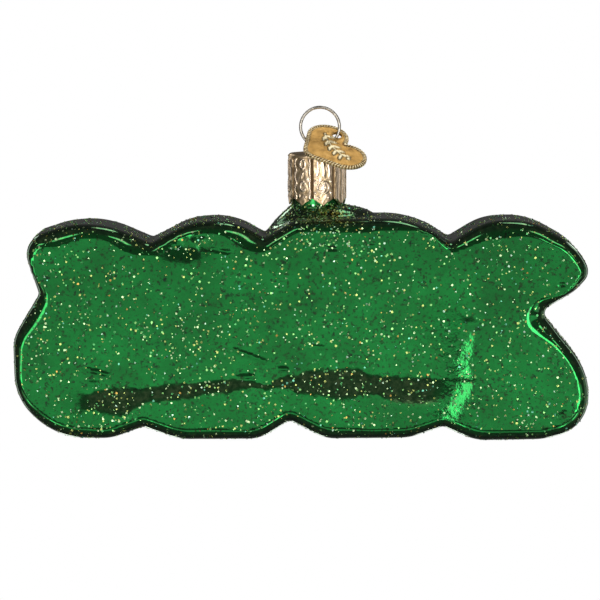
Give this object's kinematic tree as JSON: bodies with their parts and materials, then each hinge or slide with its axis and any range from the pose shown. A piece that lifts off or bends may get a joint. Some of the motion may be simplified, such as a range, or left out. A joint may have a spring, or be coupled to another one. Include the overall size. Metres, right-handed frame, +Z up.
{
  "type": "hanging glass tree ornament",
  "caption": "Hollow lobed glass tree ornament with a flat back and puffed front, a toothed metal cap, a sprung wire loop and a small heart tag.",
  "frame": {"origin": "inside the crown of the wire loop, where a tree hook bears", "axes": "+Z up, +X along the body's length to the right as its flat back is seen, and the flat back faces -Y"},
  "size_m": [0.1266, 0.026, 0.0733],
  "materials": {
    "lacquered_glass": "blown glass, silvered and lacquered green, with fine gold glitter",
    "cap_metal": "thin pressed metal, rose gold, embossed",
    "spring_wire": "bright drawn wire",
    "tag_metal": "stamped brass, satin"
  },
  "bodies": {
    "hanger": {"hanger_wire": "spring_wire"},
    "cap": {"cap": "cap_metal"},
    "glass": {"glass_body": "lacquered_glass"},
    "tag": {"heart_tag": "tag_metal"}
  },
  "joints": [
    {"name": "cap_tilt", "type": "hinge", "parent": "hanger", "child": "cap", "pos_m": [-0.00066, 0, -0.00995], "axis": [1, 0, 0], "range_deg": [-2, 6]},
    {"name": "glass_pull", "type": "slide", "parent": "cap", "child": "glass", "axis": [0, 0, -1], "range_m": [0, 0.011]},
    {"name": "tag_swing", "type": "hinge", "parent": "hanger", "child": "tag", "pos_m": [0.00374, 0, -0.00607], "axis": [-0.9866, 0, 0.1633], "range_deg": [0, 78]}
  ]
}
